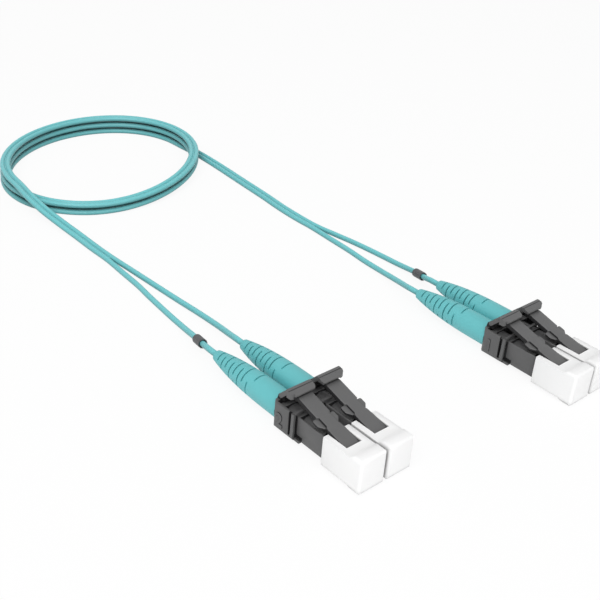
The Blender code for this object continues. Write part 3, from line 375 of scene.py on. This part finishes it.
def twin_route():
    """Middle line of the twin cord from its split at end a, round the coil, to its split at end b."""
    route = [*reversed(TAIL_A_ROUTE), *reversed(coil_points()), *TAIL_B_ROUTE]
    return smooth_route(route, CORD_SPACING)


def end_place(end):
    """Floor point under the datum of one end."""
    sign = ENDS[end]
    return Vector((sign * END_STAGGER / 2 - END_SETBACK, sign * END_SPACING / 2, 0))


def plug_place(plug):
    """Point on a plug's axis at the rear face of its clip."""
    return end_place(plug[0]) + Vector((0, PLUGS[plug] * PITCH / 2, AXIS_HEIGHT))


def leg_points(plug):
    """Guide points of one leg, from the floor up to the boot and a short way in."""
    axis = plug_place(plug)
    into = [axis + Vector((BOOT_TIP + shift, 0, 0)) for shift in (-STRAIGHT_OUT, 0, STRAIGHT_OUT)]
    return [*(Vector(point) for point in LEG_ROUTES[plug]), *into]


def sideways(points):
    """Level unit vectors to the left of a route, one at each of its points."""
    lefts = []
    for index in range(len(points)):
        ahead = points[min(index + 1, len(points) - 1)] - points[max(index - 1, 0)]
        lefts.append(Vector((-ahead.y, ahead.x, 0)).normalized())
    return lefts


def tube(name, points, radius):
    """A round cord or wire along the points, with closed ends."""
    curve = bpy.data.curves.new(name, "CURVE")
    curve.dimensions = "3D"
    curve.bevel_depth = radius * MM
    curve.bevel_resolution = TUBE_ROUNDNESS
    curve.use_fill_caps = True
    spline = curve.splines.new("POLY")
    spline.points.add(len(points) - 1)
    for knot, point in zip(spline.points, points):
        knot.co = (*(point * MM), 1)
    spline.use_smooth = True
    return linked(name, curve)


def web_strip(points):
    """The thin web that joins the two jackets."""
    shape = bmesh.new()
    half = WEB_WIDTH / 2 + WEB_OVERLAP
    rings = []
    for point, left in zip(points, sideways(points)):
        corners = []
        for side, rise in ((1, 1), (1, -1), (-1, -1), (-1, 1)):
            place = point + left * side * half + Vector((0, 0, rise * WEB_THICKNESS / 2))
            corners.append(shape.verts.new(place * MM))
        rings.append(corners)
    for ring, following in zip(rings, rings[1:]):
        for index in range(4):
            shape.faces.new((ring[index], ring[index - 1], following[index - 1], following[index]))
    shape.faces.new(rings[0])
    shape.faces.new(reversed(rings[-1]))
    bmesh.ops.recalc_face_normals(shape, faces=shape.faces)
    mesh = bpy.data.meshes.new("cord_web")
    shape.to_mesh(mesh)
    shape.free()
    return linked("cord_web", mesh)


def evenly(points, apart):
    """Points taken from a route at about the given count apart, with its first and its last."""
    last = len(points) - 1
    count = round(last / apart)
    return [points[round(last * index / count)] for index in range(count + 1)]


def parting(start, plug):
    """Guide points of a leg that parts gradually from the twin cord at the start given."""
    onward = leg_points(plug)
    return [(start + onward[0]) / 2, *onward]


def make_cords(finish):
    """Two jackets side by side from boot to boot, each one unbroken, and the web between them."""
    middle = twin_route()
    lefts = sideways(middle)
    spare = round(SPLIT_LENGTH / CORD_SPACING)
    joined = slice(spare, len(middle) - spare)
    web = web_strip(middle[joined])
    web.data.materials.append(finish)
    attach(web, ROOT)
    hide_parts("twin_tail_a", "twin_tail_b")
    for name, side, first, last in (("jacket_1", 1, "a1", "b2"), ("jacket_2", -1, "a2", "b1")):
        lobe = [point + left * side * LOBE_OFFSET for point, left in zip(middle[joined], lefts[joined])]
        along = evenly(lobe, GUIDE_APART)
        guide = [*reversed(parting(lobe[0], first)), *along, *parting(lobe[-1], last)]
        route = smooth_route(guide, CORD_SPACING)
        jacket = tube(name, route, JACKET_RADIUS)
        jacket.data.materials.append(finish)
        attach(jacket, ROOT)
        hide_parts("leg_" + first, "leg_" + last, "twin_coil")


def shaded(name, colour, spread, roughness, grain, bump, **sockets):
    """A finish whose colour, gloss and surface vary with a grain of the given size in millimetres."""
    made = bpy.data.materials.new(name)
    made.use_nodes = True
    nodes, links = made.node_tree.nodes, made.node_tree.links
    shader = nodes["Principled BSDF"]
    for socket, value in sockets.items():
        shader.inputs[socket.replace("_", " ")].default_value = value
    place = nodes.new("ShaderNodeTexCoord")
    broad = nodes.new("ShaderNodeTexNoise")
    broad.inputs["Scale"].default_value = 1 / (BROAD_GRAIN * grain * MM)
    broad.inputs["Detail"].default_value = BROAD_DETAIL
    fine = nodes.new("ShaderNodeTexNoise")
    fine.inputs["Scale"].default_value = 1 / (grain * MM)
    fine.inputs["Detail"].default_value = FINE_DETAIL
    for noise in (broad, fine):
        links.new(place.outputs["Object"], noise.inputs["Vector"])
    tone = nodes.new("ShaderNodeMapRange")
    tone.inputs["To Min"].default_value = 1 - spread
    tone.inputs["To Max"].default_value = 1 + spread
    links.new(broad.outputs["Fac"], tone.inputs["Value"])
    tint = nodes.new("ShaderNodeVectorMath")
    tint.operation = "SCALE"
    tint.inputs[0].default_value = colour
    links.new(tone.outputs["Result"], tint.inputs["Scale"])
    links.new(tint.outputs["Vector"], shader.inputs["Base Color"])
    gloss = nodes.new("ShaderNodeMapRange")
    gloss.inputs["To Min"].default_value = roughness - GLOSS_SPREAD
    gloss.inputs["To Max"].default_value = roughness + GLOSS_SPREAD
    links.new(fine.outputs["Fac"], gloss.inputs["Value"])
    links.new(gloss.outputs["Result"], shader.inputs["Roughness"])
    relief = nodes.new("ShaderNodeBump")
    relief.inputs["Strength"].default_value = bump
    relief.inputs["Distance"].default_value = BUMP_SHARE * grain * MM
    links.new(fine.outputs["Fac"], relief.inputs["Height"])
    links.new(relief.outputs["Normal"], shader.inputs["Normal"])
    return made


def paint_sheltered_shade(made, least, reach, skyward=False):
    """Paints shade into a finish's colour, down to the given share, where something is close in front of
    it or above it.
    """
    nodes, links = made.node_tree.nodes, made.node_tree.links
    shader = nodes["Principled BSDF"]
    openness = nodes.new("ShaderNodeAmbientOcclusion")
    openness.samples = PAINTED_SHADE_SAMPLES
    openness.inputs["Distance"].default_value = reach * MM
    if skyward:
        up = nodes.new("ShaderNodeCombineXYZ")
        up.inputs["Z"].default_value = 1
        links.new(up.outputs["Vector"], openness.inputs["Normal"])
    depth = nodes.new("ShaderNodeMapRange")
    depth.inputs["To Min"].default_value = least
    links.new(openness.outputs["AO"], depth.inputs["Value"])
    shade = nodes.new("ShaderNodeVectorMath")
    shade.operation = "SCALE"
    links.new(shader.inputs["Base Color"].links[0].from_socket, shade.inputs[0])
    links.new(depth.outputs["Result"], shade.inputs["Scale"])
    links.new(shade.outputs["Vector"], shader.inputs["Base Color"])


def smoothed(mesh, sharp_angle):
    """Smooth shading, with edges sharper than the given angle kept crisp."""
    mesh.shade_smooth()
    mesh.set_sharp_from_angle(angle=sharp_angle)


def boot_radius(from_tip):
    """Outer radius of a boot at a distance from its tip."""
    share = from_tip / BOOT_LENGTH
    return BOOT_TIP_RADIUS + (BOOT_BASE_RADIUS - BOOT_TIP_RADIUS) * (1 - (1 - share) ** BOOT_FLARE)


def boot_profile():
    """Half section of a boot as (along, radius), from the bore at its tip to the bore at its base."""
    profile = [(BOOT_TIP, BOOT_BORE)]
    for step in range(BOOT_EDGE_STEPS + 1):
        angle = math.pi / 2 * step / BOOT_EDGE_STEPS
        along = BOOT_TIP + BOOT_EDGE_ROUND * (1 - math.sin(angle))
        radius = boot_radius(BOOT_EDGE_ROUND) - BOOT_EDGE_ROUND * (1 - math.cos(angle))
        profile.insert(1, (along, radius))
    for step in range(1, BOOT_STATIONS + 1):
        from_tip = BOOT_EDGE_ROUND + (BOOT_LENGTH - BOOT_EDGE_ROUND) * step / BOOT_STATIONS
        profile.append((BOOT_TIP + from_tip, boot_radius(from_tip)))
    profile += [(BOOT_SEAT, BOOT_BASE_RADIUS), (BOOT_SEAT, BOOT_BORE)]
    return profile


def boot_mesh():
    """A flared sleeve with staggered flat slots."""
    shape = bmesh.new()
    rings = []
    for along, radius in boot_profile():
        ring = []
        for side in range(BOOT_SIDES):
            angle = 2 * math.pi * side / BOOT_SIDES
            ring.append(shape.verts.new((along, radius * math.cos(angle), radius * math.sin(angle))))
        rings.append(ring)
    for ring, following in zip(rings, rings[1:] + rings[:1]):
        for side in range(BOOT_SIDES):
            shape.faces.new((ring[side - 1], ring[side], following[side], following[side - 1]))
    bmesh.ops.recalc_face_normals(shape, faces=shape.faces)
    body = bpy.data.meshes.new("boot")
    shape.to_mesh(body)
    shape.free()
    slots = bmesh.new()
    reach = 2 * BOOT_BASE_RADIUS
    for count, start, upright in BOOT_SLOTS:
        for index in range(count):
            from_tip = start + index * BOOT_SLOT_PITCH
            core = BOOT_SLOT_CORE_SHARE * boot_radius(from_tip)
            if index == count - 1:
                core = BOOT_LAST_SLOT_CORE
            for side in (-1, 1):
                middle = side * (core + reach) / 2
                centre = (BOOT_TIP + from_tip + BOOT_SLOT_WIDTH / 2, 0, middle)
                size = (BOOT_SLOT_WIDTH, 2 * reach, reach - core)
                if not upright:
                    centre = (centre[0], centre[2], centre[1])
                    size = (size[0], size[2], size[1])
                matrix = Matrix.Translation(centre) @ Matrix.Diagonal((*size, 1))
                bmesh.ops.create_cube(slots, size=1, matrix=matrix)
    cutter = bpy.data.meshes.new("boot_slots")
    slots.to_mesh(cutter)
    slots.free()
    body_object = linked("boot_body", body)
    cutter_object = linked("boot_slots", cutter)
    difference = body_object.modifiers.new("slots", "BOOLEAN")
    difference.operation = "DIFFERENCE"
    difference.solver = "EXACT"
    difference.object = cutter_object
    made = baked(body_object)
    bpy.data.objects.remove(cutter_object)
    made.transform(Matrix.Scale(MM, 4))
    smoothed(made, BOOT_SHARP_ANGLE)
    return made


def make_boots(finish):
    """The flexing sleeve behind each plug."""
    for plug in PLUGS:
        mesh = boot_mesh()
        mesh.transform(Matrix.Translation(plug_place(plug) * MM))
        coat(mesh, finish)
        boot = linked("relief_" + plug, mesh)
        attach(boot, ROOT)
        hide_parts("boot_" + plug)


def make_springs(finish):
    """The spring behind each flange."""
    count = SPRING_TURNS * SPRING_POINTS_PER_TURN
    for plug in PLUGS:
        axis = plug_place(plug)
        helix = []
        for index in range(count + 1):
            angle = 2 * math.pi * index / SPRING_POINTS_PER_TURN
            along = SPRING_REAR + SPRING_WIRE + (SPRING_LENGTH - 2 * SPRING_WIRE) * index / count
            across = SPRING_RADIUS * Vector((0, math.cos(angle), math.sin(angle)))
            helix.append(axis + Vector((along, 0, 0)) + across)
        mesh = baked(tube("spring_wire", helix, SPRING_WIRE))
        coat(mesh, finish)
        spring = linked("coil_spring_" + plug, mesh)
        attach(spring, ROOT)
        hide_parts("spring_" + plug)
        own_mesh(spring)


def room_beside(edge):
    """The least of the clear widths of an edge's faces and the lengths of the edges that turn off it."""
    foot = edge.verts[0].co
    span = edge.verts[1].co - foot
    length = span.length
    along = span / length
    least = math.inf
    for face in edge.link_faces:
        for vert in face.verts:
            if vert in edge.verts:
                continue
            offset = vert.co - foot
            travel = offset.dot(along)
            if -WELD < travel < length + WELD:
                least = min(least, (offset - travel * along).length)
    for vert in edge.verts:
        for other in vert.link_edges:
            reach = other.other_vert(vert).co - vert.co
            turn = abs(along.dot(reach.normalized()))
            if turn < CHAIN_TURN:
                least = min(least, reach.length)
    return least


def softened(node, radius, shortest):
    """A copy of a solid's mesh with its sharp edges rounded, less so where there is little room."""
    shape = bmesh.new()
    shape.from_mesh(frame["nodes"][node].data)
    bmesh.ops.remove_doubles(shape, verts=shape.verts, dist=WELD)
    bmesh.ops.dissolve_limit(shape, angle_limit=FLAT_ANGLE, verts=shape.verts, edges=shape.edges)
    weight = shape.edges.layers.float.new("bevel_weight_edge")
    for edge in shape.edges:
        sharp = edge.is_convex and edge.calc_face_angle() >= SHARP_ANGLE
        if sharp and edge.calc_length() >= shortest * MM:
            edge[weight] = min(1, ROOM_SHARE * room_beside(edge) / (radius * MM))
    mesh = bpy.data.meshes.new(node + "_soft")
    shape.to_mesh(mesh)
    shape.free()
    mesh.attributes.remove(mesh.attributes["custom_normal"])
    blank = linked(node + "_blank", mesh)
    rounding = blank.modifiers.new("rounding", "BEVEL")
    rounding.limit_method = "WEIGHT"
    rounding.width = radius * MM
    rounding.segments = ROUND_SEGMENTS
    # Known fault: the caps' rear rim folds over itself here, and is filled across the mouth of the cap
    rounding.use_clamp_overlap = False
    made = baked(blank)
    smoothed(made, SHARP_ANGLE)
    return made


def slim(mesh, share):
    """Narrows a mesh across its middle to the given share, which opens the gap beside it."""
    corners = [vert.co.y for vert in mesh.vertices]
    middle = (min(corners) + max(corners)) / 2
    shift = Matrix.Translation((0, middle, 0))
    mesh.transform(shift @ Matrix.Diagonal((1, share, 1, 1)) @ shift.inverted())


def tighten(mesh, axis):
    """Brings a cap's ceiling down to the nose and the walls of its latch slot in to the latch."""
    for vert in mesh.vertices:
        place = vert.co / MM - axis
        across = abs(place.y)
        if place.x > CAP_MOUTH_END or across > CAP_SLOT_REACH or place.z < CAP_CEILING - CAP_NEAR:
            continue
        if place.z < CAP_CEILING + CAP_NEAR:
            vert.co.z -= CAP_DROP * MM
        if place.x > CAP_MOUTH_END - 2 * CAP_NEAR:
            vert.co.x -= CAP_CLOSE * MM
        share = 1 - max(0, across - CAP_SLOT_HALF) / (CAP_SLOT_REACH - CAP_SLOT_HALF)
        vert.co.y -= math.copysign(CAP_CLOSE * share * MM, place.y)


def round_tip(mesh, front, middle):
    """Rounds the two corners of a latch's tip, seen from above."""
    shape = bmesh.new()
    shape.from_mesh(mesh)
    start = front - TIP_ROUND
    for step in range(TIP_STEPS):
        cut = start + TIP_ROUND * math.sin(math.pi / 2 * step / TIP_STEPS)
        everything = [*shape.verts, *shape.edges, *shape.faces]
        place = (cut * MM, 0, 0)
        bmesh.ops.bisect_plane(shape, geom=everything, dist=WELD, plane_co=place, plane_no=(1, 0, 0))
    for vert in shape.verts:
        along, across = vert.co.x / MM - start, vert.co.y / MM - middle
        if along > 0:
            half = TIP_HALF - TIP_ROUND + math.sqrt(max(0, TIP_ROUND ** 2 - along ** 2))
            vert.co.y = (middle + max(-half, min(half, across))) * MM
    shape.to_mesh(mesh)
    shape.free()


def painted_shade_in_housing(place, normal):
    """Whether a face of a plug lies beside the barrel in its open top or within the clip, where shade is
    painted.
    """
    if place.z > BARREL_SHADE and normal.z > BARREL_TOP_TURN:
        return False
    if place.x < SHOULDER:
        return True
    return abs(place.y) < NOSE_INNER and place.z > -NOSE_INNER and place.x < RECESS_FRONT


def painted_shade_in_clip(place, normal):
    """Whether a face of a clip lies in a channel, in a side slot, or under the triggers, where shade is
    painted.
    """
    across = abs(abs(place.y) - PITCH / 2)
    if across < CHANNEL_HALF and CHANNEL_BOTTOM < place.z < CHANNEL_TOP and place.x > CLIP_REAR_WALL:
        return True
    in_slot = SLOT_REAR < place.x < SLOT_FRONT and abs(place.y) > PITCH / 2 + REAR_HALF
    if in_slot and abs(normal.y) < SLOT_END_TURN:
        return True
    on_beam = place.z > CHANNEL_TOP and place.x < BEAM_FRONT and abs(place.y) < BEAM_HALF
    return on_beam and normal.x > BEAM_REAR_TURN


def painted_shade_under_trigger(place, normal):
    """Whether a face of a trigger lies on the front of its plate, below the bar, where shade is painted.
    """
    return place.z < BAR_BOTTOM and normal.x > PLATE_FRONT_TURN and abs(place.y) < PLATE_OUTER


def painted_shade_on_latch_side(place, normal):
    """Whether a face of a latch arm looks sideways or down into the plug, where shade is painted."""
    return abs(normal.y) > LATCH_SIDE_TURN or normal.z < LATCH_UNDER_TURN


def paint_recess_shade(mesh, kind, place):
    """Gives the second finish, painted shade, to the faces that lie in a recess of a piece at the plug or
    end given.
    """
    middle = end_place(place[0]) + Vector((0, 0, AXIS_HEIGHT))
    tests = {
        "plug_housing": (plug_place(place) if place in PLUGS else middle, painted_shade_in_housing),
        "duplex_clip": (middle, painted_shade_in_clip),
        "trigger": (middle, painted_shade_under_trigger),
        "latch_arm": (middle, painted_shade_on_latch_side),
    }
    if kind in tests:
        datum, gets_painted_shade = tests[kind]
        for face in mesh.polygons:
            if gets_painted_shade(face.center / MM - datum, face.normal):
                face.material_index = 1


def raised_number(number, finish, edge_shade_finish):
    """A raised number whose face looks along -Y, with its foot on the plane y = 0 and painted shade on its
    sides.
    """
    curve = bpy.data.curves.new("number", "FONT")
    curve.body = number
    curve.size = NUMBER_SIZE * MM
    curve.extrude = NUMBER_RISE * MM
    curve.offset = NUMBER_SWELL * MM
    curve.bevel_depth = NUMBER_ROUND * MM
    curve.bevel_resolution = NUMBER_ROUNDNESS
    curve.align_x = "CENTER"
    curve.align_y = "CENTER"
    mesh = baked(linked("number", curve))
    mesh.transform(Matrix.Rotation(math.radians(90), 4, "X"))
    coat(mesh, finish, edge_shade_finish)
    # The sides get the painted shade finish, standing in for the shade along the raised edges
    for face in mesh.polygons:
        face.material_index = 0 if abs(face.normal.y) > NUMBER_FACE_TURN else 1
    return mesh


def make_numbers(finishes):
    """The number of each plug's jacket, raised on the outer side of its clip."""
    for plug, side in PLUGS.items():
        mesh = raised_number(NUMBERS[plug], finishes["dark"], finishes["painted_shade"])
        if side > 0:
            mesh.transform(Matrix.Rotation(math.pi, 4, "Z"))
        place = end_place(plug[0]) + Vector((NUMBER_X, side * CLIP_HALF, AXIS_HEIGHT + NUMBER_Z))
        mesh.transform(Matrix.Translation(place * MM))
        number = linked("number_" + plug, mesh)
        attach(number, ROOT)


def make_moulded(finishes):
    """The moulded pieces of both ends, rounded, each on the body of the solid that it stands for."""
    for node, solid in frame["nodes"].items():
        kind, place = node.rsplit("_", 1)
        if kind not in EDGE_ROUND:
            continue
        mesh = softened(node, *EDGE_ROUND[kind])
        if kind == "dust_cap":
            tighten(mesh, plug_place(place))
            slim(mesh, CAP_SLIM)
        elif kind == "latch_arm":
            datum = plug_place(place)
            round_tip(mesh, datum.x + TIP_FRONT, datum.y)
        look, slot = MOULDED_LOOKS[kind]
        # The second finish is painted shade, given to the faces in recesses and under parts
        coat(mesh, finishes[look], finishes["painted_shade"])
        paint_recess_shade(mesh, kind, place)
        piece = linked(node + "_moulded", mesh)
        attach(piece, solid["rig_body"])
        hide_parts(node)


def make_finishes():
    """The finishes of all pieces, by name."""
    dark = shaded("dark_plastic_moulded", (0.1, 0.1, 0.101),
                  spread=0.05, roughness=0.5, grain=0.12, bump=0.15)
    # Painted shade: a darker, less glossy copy of the dark plastic for faces in recesses, under the
    # triggers, on the latch sides and on the numbers' sides, where shade falls
    painted_shade = shaded("dark_plastic_painted_shade", (0.025, 0.025, 0.026),
                    spread=0.05, roughness=0.6, grain=0.12, bump=0.15, Specular_IOR_Level=0.15)
    cord = shaded("aqua_jacket_extruded", (0.168, 0.585, 0.615),
                  spread=0.03, roughness=0.38, grain=0.1, bump=0.1)
    boot = shaded("aqua_boot_moulded", (0.132, 0.5, 0.525),
                  spread=0.03, roughness=0.5, grain=0.1, bump=0.15)
    cap = shaded("white_cap_moulded", (0.92, 0.92, 0.92),
                 spread=0.01, roughness=0.42, grain=0.15, bump=0.05)
    marker = shaded("marker_grey_extruded", (0.07, 0.07, 0.075),
                    spread=0.05, roughness=0.5, grain=0.1, bump=0.1)
    ceramic = shaded("ceramic_polished", (0.9, 0.88, 0.84),
                     spread=0.01, roughness=0.2, grain=0.2, bump=0.02)
    metal = shaded("plated_metal", (0.6, 0.59, 0.56),
                   spread=0.05, roughness=0.3, grain=0.08, bump=0.1, Metallic=1.0)
    # Painted shade: the cord darkens where strands above shelter it from overhead, the dark plastic and
    # the caps in creases and between parts
    paint_sheltered_shade(cord, least=0.32, reach=3.4, skyward=True)
    paint_sheltered_shade(dark, least=0.3, reach=1.2)
    paint_sheltered_shade(cap, least=0.3, reach=1.2)
    return {
        "dark": dark,
        "painted_shade": painted_shade,
        "cord": cord,
        "boot": boot,
        "cap": cap,
        "marker": marker,
        "ceramic": ceramic,
        "metal": metal,
    }


def paint_solids(finishes):
    """Finishes of the solids that stay as they are."""
    for node, solid in frame["nodes"].items():
        look = SOLID_LOOKS.get(node.rsplit("_", 1)[0])
        if look:
            coat(solid.data, finishes[look])


def seen_directly(nodes, links):
    """A socket that is 1 for what the camera sees itself, in a reflection or through glass."""
    rays = nodes.new("ShaderNodeLightPath")
    total = rays.outputs["Is Camera Ray"]
    for name in ("Is Glossy Ray", "Is Transmission Ray"):
        either = nodes.new("ShaderNodeMath")
        either.operation = "MAXIMUM"
        links.new(total, either.inputs[0])
        links.new(rays.outputs[name], either.inputs[1])
        total = either.outputs[0]
    return total


def make_stage():
    """A pale floor that keeps the part's shadow and is nearly white to the camera."""
    floor_mesh = bpy.data.meshes.new("floor")
    shape = bmesh.new()
    bmesh.ops.create_grid(shape, x_segments=1, y_segments=1, size=FLOOR_SIZE)
    shape.to_mesh(floor_mesh)
    shape.free()
    floor = linked("floor", floor_mesh)
    floor.location = (0, 0, -FLOOR_DROP)
    pale = bpy.data.materials.new("pale_floor")
    pale.use_nodes = True
    nodes, links = pale.node_tree.nodes, pale.node_tree.links
    diffuse = nodes["Principled BSDF"]
    diffuse.inputs["Base Color"].default_value = FLOOR_COLOUR
    diffuse.inputs["Roughness"].default_value = FLOOR_ROUGHNESS
    diffuse.inputs["Specular IOR Level"].default_value = 0
    glow = nodes.new("ShaderNodeEmission")
    share = nodes.new("ShaderNodeMath")
    share.operation = "MULTIPLY"
    share.inputs[1].default_value = FLOOR_GLOW
    links.new(seen_directly(nodes, links), share.inputs[0])
    mix = nodes.new("ShaderNodeMixShader")
    links.new(share.outputs[0], mix.inputs["Fac"])
    links.new(diffuse.outputs["BSDF"], mix.inputs[1])
    links.new(glow.outputs["Emission"], mix.inputs[2])
    links.new(mix.outputs["Shader"], nodes["Material Output"].inputs["Surface"])
    floor.data.materials.append(pale)


def make_light():
    """A white studio world and two soft lamps."""
    world = bpy.data.worlds.new("studio")
    bpy.context.scene.world = world
    world.use_nodes = True
    nodes, links = world.node_tree.nodes, world.node_tree.links
    background = nodes["Background"]
    background.inputs["Color"].default_value = (1, 1, 1, 1)
    level = nodes.new("ShaderNodeMapRange")
    level.inputs["To Min"].default_value = WORLD_LEVEL
    level.inputs["To Max"].default_value = WORLD_LEVEL_SEEN
    links.new(seen_directly(nodes, links), level.inputs["Value"])
    links.new(level.outputs["Result"], background.inputs["Strength"])
    for name, power, place in LAMPS:
        light = bpy.data.lights.new(name, "AREA")
        light.energy = power
        light.size = LAMP_SIZE
        lamp = linked(name, light)
        lamp.location = place
        lamp.rotation_euler = (LAMP_TARGET - place).to_track_quat("-Z", "Y").to_euler()


def main():
    """Makes all pieces, the stage and the light."""
    bpy.context.scene.view_settings.view_transform = "Standard"
    make_camera()
    finishes = make_finishes()
    make_cords(finishes["cord"])
    make_boots(finishes["boot"])
    make_moulded(finishes)
    make_springs(finishes["metal"])
    make_numbers(finishes)
    paint_solids(finishes)
    make_stage()
    make_light()


main()
